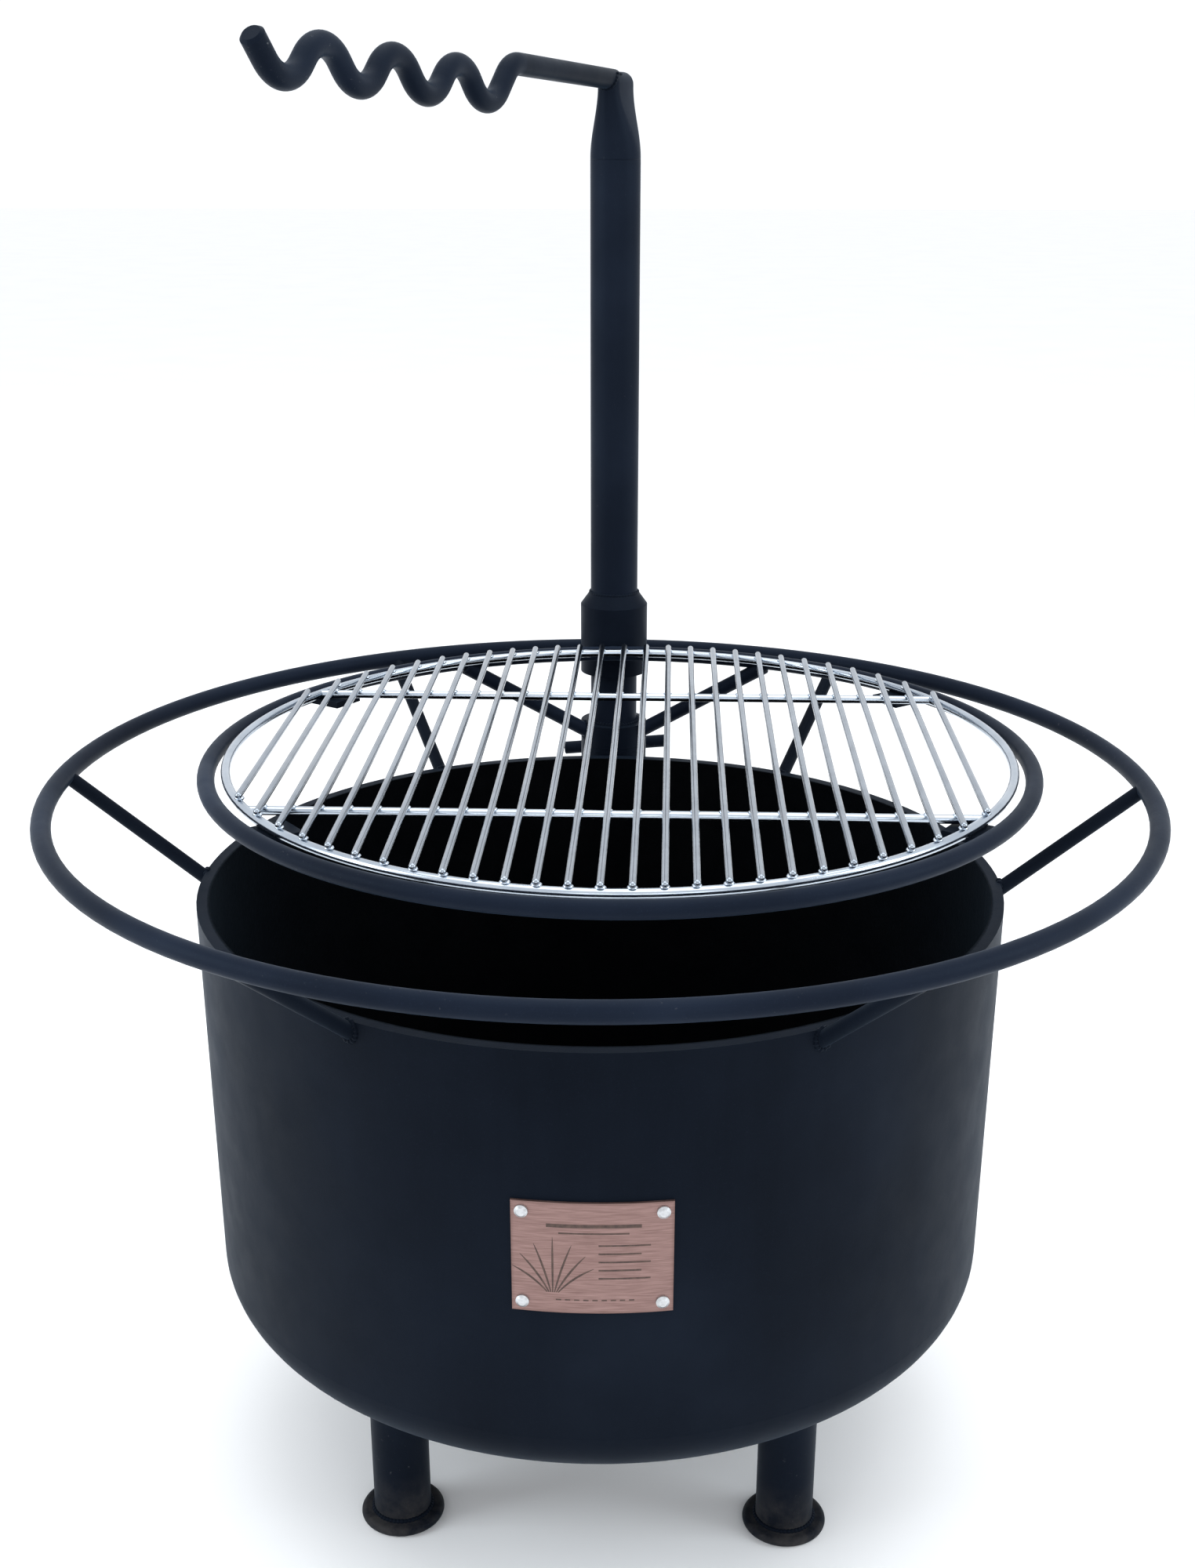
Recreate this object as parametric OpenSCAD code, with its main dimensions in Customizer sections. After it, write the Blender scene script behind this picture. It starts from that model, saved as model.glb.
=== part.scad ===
// Round steel fire pit with a raised hoop rail and a lift-and-swing cooking grate.
// +Z up, origin on the ground under the middle of the bowl, front of the pit towards -Y.

/* [Fire bowl] */
// Outside diameter of the bowl wall (24 in pipe)
bowl_d = 609.6; // [560:0.1:660]
// Wall thickness of the bowl and its dished end
bowl_wall = 9.5; // [8:0.1:12]
// Height of the rim above the ground
rim_z = 486; // [460:1:520]
// Height of the straight wall above the dished end
wall_h = 293; // [270:1:310]
// Outside crown radius of the dished end
crown_r = 760; // [700:5:900]
// Outside knuckle radius of the dished end
knuckle_r = 41; // [34:1:48]

/* [Legs] */
// Radius of the circle that the four legs stand on
leg_circle_r = 213; // [190:1:230]
// Outside diameter of a leg (1 3/4 in tube)
leg_d = 44.5; // [42:0.1:50]
// Wall thickness of the leg and post pipe
pipe_wall = 3.7; // [3:0.1:5]
// Diameter of a foot disc
foot_d = 65; // [58:1:80]
// Thickness of a foot disc
foot_t = 8; // [6:1:12]

/* [Hoop rail] */
// Radius of the hoop rail's centre line
hoop_r = 407; // [395:1:420]
// Diameter of the hoop's round bar
hoop_bar_d = 14.3; // [12:0.1:17]
// Height of the hoop's centre line above the rim
hoop_rise = 76.5; // [70:0.5:78]
// Diameter of the six struts
strut_d = 11; // [9:0.1:13]
// Depth below the rim where a strut meets the bowl wall
strut_drop = 12; // [9:1:20]

/* [Post and receiver] */
// Distance from the middle of the bowl to the post axis
post_y = 339.5; // [338:0.5:341]
// Outside diameter of the post (1 1/4 in pipe)
post_d = 42.2; // [41:0.1:42.6]
// Outside diameter of the receiver, the collar and the hub (2 in pipe)
sleeve_d = 60.3; // [58:0.1:62]
// Bore of the receiver (2 in heavy pipe)
receiver_bore = 43.2; // [42.7:0.1:44]
// Length of the receiver, measured down from the rim
receiver_len = 190; // [150:5:220]
// Height of the straight post pipe above the rim
post_top = 508; // [440:1:515]
// Depth of the lower end of the post below the rim
post_tail = 185; // [120:5:188]
// Depth of the clamp screw below the rim
lock_drop = 17; // [15:1:30]

/* [Handle] */
// Height of the handle arm's centre line above the rim
arm_rise = 569; // [560:0.5:585]
// Diameter of the handle's round bar
bar_d = 16; // [14:0.5:17]
// Length of the straight arm from the post axis to the first crest
arm_len = 183; // [150:1:220]
// Rise of the handle towards its tip, in degrees
handle_tilt = 2; // [0:0.1:4]
// Angle of the handle from -X towards -Y
handle_az = 66; // [40:1:80]
// Bend radius of the wave at the bar's centre line
wave_bend = 28; // [20:0.5:30]
// Length of the straight strand between two bends
wave_strand = 7; // [4:1:20]
// Extra length of the first strand, which sets the wave below the arm
wave_dip = 9.5; // [0:0.5:16]
// Number of full waves in the grip
wave_count = 4; // [3:1:5]

/* [Grate] */
// Radius of the grate ring's centre line
ring_r = 304.5; // [304:0.5:308]
// Diameter of the grate ring's round bar
ring_bar_d = 12.7; // [12:0.1:16]
// Height of the grate ring's centre line above the rim
ring_rise = 96; // [94:0.5:104]
// Resting swing of the grate about the post, in degrees
swing_rest = 2.4; // [0:0.1:4]
// Diameter of the two braces under the grate ring
brace_d = 12.7; // [10:0.1:14]
// Half the spacing of the braces where they meet the grate ring
brace_half = 132; // [110:1:145]
// Diameter of the loose grate's rim wire
rim_wire_d = 7; // [6:0.5:8]
// Diameter of the loose grate's cross rods
cross_d = 6.4; // [5:0.1:6.8]
// Diameter of the loose grate's bars
rod_d = 4.8; // [4:0.1:7]
// Spacing of the grate bars
rod_pitch = 19.6; // [18:0.1:21]
// Number of grate bars
rod_count = 27; // [21:1:27]
// Offset of the bars' pattern to one side
rod_shift = -3.5; // [-5:0.5:5]
// Distance of each cross rod from the middle of the grate
cross_y = 146; // [120:1:180]

/* [Name plate] */
// Width of the name plate
plate_w = 106; // [90:1:120]
// Height of the name plate
plate_h = 83; // [70:1:95]
// Thickness of the name plate
plate_t = 2; // [1.5:0.5:3]
// Depth of the plate's middle below the rim
plate_drop = 148; // [120:1:170]
// Angle of the plate round the bowl, from straight ahead
plate_turn = 1.2; // [-4:0.1:4]

/* [Hidden] */
$fn = 96;

bowl_r = bowl_d / 2;
tangent_z = rim_z - wall_h;
knuckle_c = bowl_r - knuckle_r;
crown_s = crown_r - knuckle_r;
crown_cz = tangent_z + sqrt(crown_s * crown_s - knuckle_c * knuckle_c);
leg_xy = leg_circle_r / sqrt(2);
hoop_z = rim_z + hoop_rise;
ring_z = rim_z + ring_rise;
arm_z = rim_z + arm_rise;
gap = 0.3;
washer_t = 3;
collar_h = 21;
hub_lo = 72;
hub_hi = 145;
hub_bevel = 11;
tab_t = 5;
rim_wire_r = 290;
tab_top = ring_z + 0.6;
rim_wire_z = tab_top + gap + rim_wire_d / 2;
bar_z = rim_wire_z + rim_wire_d / 2 + rod_d / 2;
lock_z = rim_z - lock_drop;
screw_r = 6;
screw_fit = 0.06;
tee_d = 12;
tee_len = 98;
tee_tilt = 5;
tee_y = sleeve_d / 2 + 26;
screw_len = tee_y - 8 - gap - post_d / 2 - 0.5;
plate_screw_d = 5;
plate_screw_x = 46;
plate_screw_z = 34;
plate_out_r = bowl_r + plate_t;
paint = [0.13, 0.17, 0.23];
soot = [0.06, 0.07, 0.08];
chrome = [0.80, 0.83, 0.86];
copper = [0.72, 0.45, 0.36];
zinc = [0.62, 0.64, 0.66];

// ---- shared shapes ----
module bar_torus(r, d) { rotate_extrude() translate([r, 0]) circle(d = d, $fn = 48); }

// round bar between two points
module bar(a, b, d) {
    v = b - a;
    len = norm(v);
    translate(a) rotate([0, acos(v[2] / len), atan2(v[1], v[0])]) cylinder(h = len, d = d, $fn = 48);
}

module pipe(d, wall, h) {
    difference() {
        cylinder(h = h, d = d);
        translate([0, 0, -1]) cylinder(h = h + 2, d = d - 2 * wall);
    }
}

// everything that turns with the post, at its resting swing
module swung() { translate([0, post_y, 0]) rotate([0, 0, swing_rest]) translate([0, -post_y, 0]) children(); }

// ---- fire bowl ----
module radial_hole(a, z) { translate([0, 0, z]) rotate([0, 0, a]) rotate([90, 0, 0]) children(); }

plate_screw_a = asin(plate_screw_x / plate_out_r);
plate_z = rim_z - plate_drop;

module plate_screw_places() {
    for (a = [-plate_screw_a, plate_screw_a], z = [plate_z - plate_screw_z, plate_z + plate_screw_z])
        radial_hole(plate_turn + a, z) children();
}

module bowl_shell() {
    color(paint) difference() {
        translate([0, 0, tangent_z]) cylinder(h = wall_h, r = bowl_r, $fn = 180);
        translate([0, 0, tangent_z - 1]) cylinder(h = wall_h + 2, r = bowl_r - bowl_wall, $fn = 180);
        plate_screw_places() translate([0, 0, bowl_r - 20]) cylinder(h = 40, d = plate_screw_d, $fn = 32);
    }
}

// half section of everything inside the dished end's surface, pulled in by o
module dish_section(o) {
    u = [knuckle_c / crown_s, -(crown_cz - tangent_z) / crown_s];
    edge = [knuckle_c + 300 * u[0], tangent_z + 300 * u[1]];
    intersection() {
        translate([0, crown_cz]) circle(r = crown_r - o, $fn = 360);
        polygon([[0, tangent_z], [knuckle_c, tangent_z], edge, [0, edge[1]]]);
    }
    intersection() {
        translate([knuckle_c, tangent_z]) circle(r = knuckle_r - o, $fn = 96);
        translate([0, tangent_z - 150]) square([bowl_r, 150]);
    }
}

module dished_bottom() {
    color(paint) rotate_extrude($fn = 180) difference() {
        dish_section(0);
        dish_section(bowl_wall);
    }
}

// ---- legs and feet ----
module leg(sx, sy) {
    color(paint) difference() {
        translate([sx * leg_xy, sy * leg_xy, foot_t]) pipe(leg_d, pipe_wall, 160);
        translate([0, 0, crown_cz]) sphere(r = crown_r, $fn = 180);
    }
}

module foot(sx, sy) {
    color(paint) translate([sx * leg_xy, sy * leg_xy, 0]) rotate_extrude() {
        square([foot_d / 2 - foot_t / 2, foot_t]);
        intersection() {
            translate([foot_d / 2 - foot_t / 2, foot_t / 2]) circle(d = foot_t, $fn = 32);
            translate([1, 0]) square([foot_d, foot_t]);
        }
    }
}

module leg_front_left() { leg(-1, -1); }
module leg_front_right() { leg(1, -1); }
module leg_rear_left() { leg(-1, 1); }
module leg_rear_right() { leg(1, 1); }
module foot_front_left() { foot(-1, -1); }
module foot_front_right() { foot(1, -1); }
module foot_rear_left() { foot(-1, 1); }
module foot_rear_right() { foot(1, 1); }

// ---- hoop rail ----
module hoop_rail() { color(paint) translate([0, 0, hoop_z]) bar_torus(hoop_r, hoop_bar_d); }

// strut at angle a from +X, cut to fit the bowl wall and the hoop
module strut(a) {
    color(paint) rotate([0, 0, a]) difference() {
        bar([bowl_r - 6, 0, rim_z - strut_drop], [hoop_r - 3, 0, hoop_z - 3], strut_d);
        cylinder(h = rim_z + 40, r = bowl_r, $fn = 180);
        translate([0, 0, hoop_z]) bar_torus(hoop_r, hoop_bar_d);
    }
}

module strut_front_left() { strut(240); }
module strut_front_right() { strut(300); }
module strut_left() { strut(180); }
module strut_right() { strut(0); }
module strut_rear_left() { strut(120); }
module strut_rear_right() { strut(60); }

// ---- receiver on the back of the bowl ----
module post_receiver() {
    color(paint) difference() {
        translate([0, post_y, rim_z - receiver_len]) cylinder(h = receiver_len, d = sleeve_d);
        translate([0, post_y, 0]) cylinder(h = rim_z + 10, d = receiver_bore);
        translate([0, post_y, lock_z]) rotate([-90, 0, 0]) cylinder(h = 60, r = screw_r + 0.5, $fn = 48);
    }
}

// block that joins the receiver to the bowl wall
module saddle(drop) {
    color(paint) difference() {
        translate([-26, bowl_r - 14, rim_z - drop]) cube([52, post_y - bowl_r + 14, 22]);
        cylinder(h = rim_z + 10, r = bowl_r, $fn = 180);
        translate([0, post_y, 0]) cylinder(h = rim_z + 10, d = sleeve_d);
    }
}

module saddle_upper() { saddle(62); }
module saddle_lower() { saddle(172); }

// ---- clamp screw ----
module on_lock_axis() { translate([0, post_y, lock_z]) rotate([-90, 0, 0]) children(); }

module clamp_nut() {
    color(zinc) difference() {
        on_lock_axis() translate([0, 0, 22]) cylinder(h = 19.5, d = 24 / cos(30), $fn = 6);
        translate([0, post_y, 0]) cylinder(h = rim_z + 10, d = sleeve_d);
        on_lock_axis() cylinder(h = 60, r = screw_r + screw_fit, $fn = 48);
    }
}

module clamp_screw() {
    color(zinc) on_lock_axis() translate([0, 0, post_d / 2 + 0.5])
        cylinder(h = screw_len, r = screw_r, $fn = 48);
}

module on_tee() {
    on_lock_axis() translate([0, 0, tee_y]) rotate([0, 0, -tee_tilt]) rotate([0, 90, 0]) children();
}

module clamp_head() {
    color(zinc) difference() {
        on_lock_axis() translate([0, 0, tee_y - 14]) cylinder(h = 24, r = 11, $fn = 48);
        on_lock_axis() translate([0, 0, tee_y - 20]) cylinder(h = 12, r = screw_r + screw_fit, $fn = 48);
        on_tee() cylinder(h = 40, d = tee_d, center = true, $fn = 48);
    }
}

module clamp_tee_bar() {
    color(paint) on_tee() {
        cylinder(h = tee_len - 2, d = tee_d, center = true, $fn = 48);
        for (f = [0, 180]) rotate([f, 0, 0])
            translate([0, 0, tee_len / 2 - 1]) cylinder(h = 1, d1 = tee_d, d2 = tee_d - 2, $fn = 48);
    }
}

// ---- post and what turns with it ----
module thrust_washer() {
    color(zinc) translate([0, post_y, rim_z + gap]) difference() {
        cylinder(h = washer_t, d = sleeve_d);
        translate([0, 0, -1]) cylinder(h = washer_t + 2, d = receiver_bore);
    }
}

module post_tube() {
    color(paint) swung() translate([0, post_y, rim_z - post_tail])
        pipe(post_d, pipe_wall, post_tail + post_top);
}

// slice through the squashed part of the post, where its sides start to run straight up
module crown_neck() {
    for (x = [-13, 13]) translate([x, 0, rim_z + post_top + 40]) cylinder(h = 1, r = 9.5, $fn = 48);
}

// squashed pipe end that closes round the handle bar
module post_crown() {
    color(paint) swung() translate([0, post_y, 0]) rotate([0, 0, 180 + handle_az]) difference() {
        union() {
            hull() {
                translate([0, 0, rim_z + post_top]) cylinder(h = 1, d = post_d, $fn = 48);
                crown_neck();
            }
            hull() {
                crown_neck();
                for (x = [-13, 13]) translate([x, 0, arm_z - 3]) sphere(r = 9.5, $fn = 48);
            }
        }
        translate([0, 0, arm_z]) rotate([0, 90 - handle_tilt, 0])
            cylinder(h = 40, d = bar_d + 0.2, $fn = 48);
    }
}

module stop_collar() {
    color(paint) swung() translate([0, post_y, rim_z + 2 * gap + washer_t]) difference() {
        cylinder(h = collar_h, d = sleeve_d);
        translate([0, 0, -1]) cylinder(h = collar_h + 2, d = post_d);
    }
}

module ring_hub() {
    color(paint) swung() translate([0, post_y, rim_z]) difference() {
        union() {
            translate([0, 0, hub_lo]) cylinder(h = hub_hi - hub_bevel - hub_lo, d = sleeve_d);
            translate([0, 0, hub_hi - hub_bevel]) cylinder(h = hub_bevel, d1 = sleeve_d, d2 = post_d + 2);
        }
        cylinder(h = 200, d = post_d);
    }
}

module brace(s) {
    foot_end = [s * 18, post_y - 10, rim_z + 13];
    ring_end = [s * brace_half, sqrt(ring_r * ring_r - brace_half * brace_half) - 1, ring_z - 4];
    color(paint) swung() difference() {
        bar(foot_end, ring_end, brace_d);
        translate([0, post_y, 0]) cylinder(h = rim_z + 60, d = sleeve_d);
        translate([0, 0, ring_z]) bar_torus(ring_r, ring_bar_d);
    }
}

module brace_left() { brace(-1); }
module brace_right() { brace(1); }

module grate_ring() {
    color(paint) swung() difference() {
        translate([0, 0, ring_z]) bar_torus(ring_r, ring_bar_d);
        translate([0, post_y, 0]) cylinder(h = 2 * rim_z, d = sleeve_d);
    }
}

module grate_tabs() {
    color(paint) swung() for (a = [-35, 215, 35, 145]) difference() {
        rotate([0, 0, a]) translate([270, -14, tab_top - tab_t]) cube([32, 28, tab_t]);
        translate([0, 0, ring_z]) bar_torus(ring_r, ring_bar_d);
    }
}

// ---- handle: straight arm, then a flat wave of quarter bends joined by straight strands ----
wave_step = 2 * wave_bend + wave_strand;
wave_tail = 12;
grip_end = wave_strand + wave_tail;

module on_handle() {
    swung() translate([0, post_y, arm_z]) rotate([0, -handle_tilt, 180 + handle_az]) children();
}

// bar's ring in the XZ plane round c, kept only inside the given outline
module bend(c, outline) {
    translate([c[0], 0, c[1]]) rotate([90, 0, 0]) intersection() {
        bar_torus(wave_bend, bar_d);
        translate([0, 0, -bar_d]) linear_extrude(2 * bar_d) polygon(outline);
    }
}

module strand_down(x, z, h) { translate([x, 0, z]) rotate([0, 90, 0]) cylinder(h = h, d = bar_d, $fn = 48); }
module strand_up(x, z, h) { translate([x, 0, z]) cylinder(h = h, d = bar_d, $fn = 48); }

module handle_arm() {
    color(paint) on_handle() translate([6, 0, 0]) rotate([0, 90, 0])
        cylinder(h = arm_len - 6, d = bar_d, $fn = 48);
}

// drawn along two axes at right angles and then tipped by 45 degrees
module wave_grip() {
    r = wave_bend;
    k = 2 * r;
    color(paint) on_handle() translate([arm_len, 0, -r]) rotate([0, 45, 0]) union() {
        bend([0, 0], [[0, 0], [0, k], [-k, k]]);
        strand_down(0, r, wave_strand + wave_dip);
        for (i = [0 : wave_count - 1]) {
            z = i * wave_step;
            x = z + wave_dip + wave_strand;
            bend([x, z + k], [[0, 0], [0, -k], [k, -k], [k, 0]]);
            strand_up(x + r, z + k, i == wave_count - 1 ? grip_end - 2 : wave_strand);
        }
        for (i = [1 : wave_count - 1]) {
            z = i * wave_step;
            bend([z + wave_dip, z], [[0, 0], [-k, 0], [-k, k], [0, k]]);
            strand_down(z + wave_dip, z + r, wave_strand);
        }
        translate([(wave_count - 1) * wave_step + wave_dip + wave_strand + r, 0,
                   (wave_count - 1) * wave_step + k + grip_end - 2])
            cylinder(h = 2, d1 = bar_d, d2 = bar_d - 4, $fn = 48);
    }
}

// ---- loose chromed grate ----
grate_cx = post_y * sin(swing_rest);
grate_cy = post_y * (1 - cos(swing_rest));

module on_grate() { translate([grate_cx, grate_cy, 0]) children(); }

module grate_rim() {
    color(chrome) on_grate() translate([0, 0, rim_wire_z]) bar_torus(rim_wire_r, rim_wire_d);
}

module grate_bars() {
    color(chrome) on_grate() for (i = [0 : rod_count - 1]) {
        x = (i - (rod_count - 1) / 2) * rod_pitch + rod_shift;
        half = sqrt(rim_wire_r * rim_wire_r - x * x);
        translate([x, -half, bar_z]) rotate([-90, 0, 0]) cylinder(h = 2 * half, d = rod_d, $fn = 32);
        for (y = [-half, half]) translate([x, y, bar_z]) sphere(d = rod_d, $fn = 32);
    }
}

module grate_cross_rods() {
    color(chrome) on_grate() for (y = [-cross_y, cross_y]) difference() {
        half = sqrt(rim_wire_r * rim_wire_r - y * y);
        translate([-half, y, rim_wire_z + 0.2]) rotate([0, 90, 0]) cylinder(h = 2 * half, d = cross_d, $fn = 48);
        translate([0, 0, rim_wire_z]) bar_torus(rim_wire_r, rim_wire_d);
    }
}

// ---- name plate ----
module name_plate() {
    color(copper) difference() {
        rotate([0, 0, plate_turn]) intersection() {
            translate([0, 0, plate_z - plate_h / 2]) cylinder(h = plate_h, r = plate_out_r, $fn = 180);
            translate([-plate_w / 2, -bowl_r - 20, 0]) cube([plate_w, 100, rim_z]);
        }
        cylinder(h = rim_z, r = bowl_r, $fn = 180);
        plate_screw_places() translate([0, 0, bowl_r - 20]) cylinder(h = 40, d = plate_screw_d, $fn = 32);
    }
}

module plate_screws() {
    color(zinc) plate_screw_places() {
        translate([0, 0, bowl_r - bowl_wall - 2])
            cylinder(h = bowl_wall + 2 + plate_t, d = plate_screw_d, $fn = 32);
        translate([0, 0, plate_out_r]) cylinder(h = 1.2, d = 9, $fn = 32);
        translate([0, 0, plate_out_r + 1.2]) cylinder(h = 1.3, d1 = 9, d2 = 5.5, $fn = 32);
    }
}

bowl_shell();
dished_bottom();
leg_front_left();
leg_front_right();
leg_rear_left();
leg_rear_right();
foot_front_left();
foot_front_right();
foot_rear_left();
foot_rear_right();
hoop_rail();
strut_front_left();
strut_front_right();
strut_left();
strut_right();
strut_rear_left();
strut_rear_right();
post_receiver();
saddle_upper();
saddle_lower();
clamp_nut();
clamp_screw();
clamp_head();
clamp_tee_bar();
thrust_washer();
post_tube();
post_crown();
stop_collar();
ring_hub();
brace_left();
brace_right();
grate_ring();
grate_tabs();
handle_arm();
wave_grip();
grate_rim();
grate_bars();
grate_cross_rods();
name_plate();
plate_screws();
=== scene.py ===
"""Looks for the fire pit with a lift-and-swing cooking grate. Metres, in the CAD model's own frame."""

import math

import bmesh
import bpy
from mathutils import Matrix, Vector, noise


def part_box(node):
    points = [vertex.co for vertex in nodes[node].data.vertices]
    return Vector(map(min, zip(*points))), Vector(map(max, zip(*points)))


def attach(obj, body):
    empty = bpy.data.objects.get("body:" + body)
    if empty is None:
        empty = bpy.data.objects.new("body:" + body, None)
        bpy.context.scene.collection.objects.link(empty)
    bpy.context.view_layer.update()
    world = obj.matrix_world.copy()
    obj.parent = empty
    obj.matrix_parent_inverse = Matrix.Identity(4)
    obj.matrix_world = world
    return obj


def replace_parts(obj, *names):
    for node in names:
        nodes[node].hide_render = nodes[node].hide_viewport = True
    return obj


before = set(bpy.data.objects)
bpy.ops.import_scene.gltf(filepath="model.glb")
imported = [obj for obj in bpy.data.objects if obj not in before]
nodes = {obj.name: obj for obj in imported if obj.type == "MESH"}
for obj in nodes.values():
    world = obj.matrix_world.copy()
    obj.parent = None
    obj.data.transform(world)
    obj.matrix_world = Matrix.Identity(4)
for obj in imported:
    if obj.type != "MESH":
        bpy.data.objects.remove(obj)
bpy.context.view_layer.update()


# ---- sizes taken from the CAD nodes ----
def axis_of(lo, hi):
    """Where the upright middle line of a box meets the ground."""
    return Vector(((lo.x + hi.x) / 2, (lo.y + hi.y) / 2, 0))


shell_lo, shell_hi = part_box("bowl_shell")
BOWL_R = (shell_hi.x - shell_lo.x) / 2
RIM_Z = shell_hi.z
WALL_LOW = shell_lo.z

post_lo, post_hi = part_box("post_tube")
POST = axis_of(post_lo, post_hi)
POST_R = (post_hi.x - post_lo.x) / 2
CROWN_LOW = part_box("post_crown")[0].z
COLLAR_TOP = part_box("stop_collar")[1].z
hub_lo, hub_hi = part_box("ring_hub")
HUB_R = (hub_hi.x - hub_lo.x) / 2

receiver_lo, receiver_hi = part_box("post_receiver")
RECEIVER = axis_of(receiver_lo, receiver_hi)
RECEIVER_R = (receiver_hi.x - receiver_lo.x) / 2
nut_lo, nut_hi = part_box("clamp_nut")
NUT_C = Vector(((nut_lo.x + nut_hi.x) / 2, RECEIVER.y, (nut_lo.z + nut_hi.z) / 2))

ring_lo, ring_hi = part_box("grate_ring")
BAR_R = (ring_hi.z - ring_lo.z) / 2
RING_OUTER = (ring_hi.x - ring_lo.x) / 2
RING_R = RING_OUTER - BAR_R
RING_C = Vector(((ring_lo.x + ring_hi.x) / 2, ring_lo.y + RING_OUTER, (ring_lo.z + ring_hi.z) / 2))

hoop_lo, hoop_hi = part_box("hoop_rail")
HOOP_R = (hoop_hi.x - hoop_lo.x) / 2 - (hoop_hi.z - hoop_lo.z) / 2
HOOP_Z = (hoop_hi.z + hoop_lo.z) / 2

wire_lo, wire_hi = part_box("grate_rim")
WIRE_R = (wire_hi.z - wire_lo.z) / 2
WIRE_C = (wire_lo + wire_hi) / 2
WIRE_RING = (wire_hi.x - wire_lo.x) / 2 - WIRE_R

plate_lo, plate_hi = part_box("name_plate")
PLATE_X = (plate_hi.x + plate_lo.x) / 2
PLATE_Z = (plate_hi.z + plate_lo.z) / 2
PLATE_HALF_W = (plate_hi.x - plate_lo.x) / 2
PLATE_HALF_H = (plate_hi.z - plate_lo.z) / 2

# ---- sizes that no box shows, as in the part's own source ----
SWING = math.radians(2.4)  # the grate and handle rest this far off square
DISH_R = 0.760  # outside radius of the dished end
KNUCKLE_R = 0.041  # and of its rounded corner
KNUCKLE_C = BOWL_R - KNUCKLE_R
DISH_Z = WALL_LOW + math.sqrt((DISH_R - KNUCKLE_R) ** 2 - KNUCKLE_C**2)  # height of the dish's centre
STRUT_COUNT = 6
STRUT_R = 0.0055
STRUT_DROP = 0.012  # a strut's foot below the rim
STRUT_SINK = 0.006  # and inside the bowl's surface
STRUT_INSET = 0.003  # a strut's head inside and below the hoop's middle
BRACE_R = 0.00635
BRACE_FOOT = Vector((0.018, -0.010, 0.013))  # from the post's axis at the rim's height
BRACE_HEAD_X = 0.132
BRACE_HEAD_IN = 0.001  # a brace's head inside the ring's middle
BRACE_HEAD_DROP = 0.004
ARM_Z = RIM_Z + 0.569
ARM_TURN = math.radians(246.0)  # the handle arm's direction from +X, before the swing
ARM_TILT = math.radians(2.0)  # and its slope, rising away from the post
ARM_SKIN = 0.0081  # just outside the arm's 16 mm bar
TONGUE_R = 0.0095  # rounding of the post's squashed end
TONGUE_HALF = 0.013  # half the flat width between its rounded edges
TONGUE_LEAD = 0.054  # height over which the pipe is squashed
TONGUE_DROP = 0.003  # its rounded top's middle below the arm
ROD_PITCH = 0.0196  # of the loose grate's bars
ROD_SHIFT = -0.0035
ROD_COUNT = 27
CROSS_Y = 0.146  # its two cross rods, either side of the middle
PLATE_TURN = math.radians(1.2)
PLATE_R = BOWL_R + 0.002  # the plate's outer face
PLATE_SCREW_X = 0.046  # its screws, either side of its middle
PLATE_SCREW_Z = 0.034
SCREW_HEAD_R = PLATE_R + 0.0025
NUT_WELD_R = 0.0125
SKIN_GAP = 0.0004  # beads on a tessellated wall sit this far outside its true radius


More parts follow.
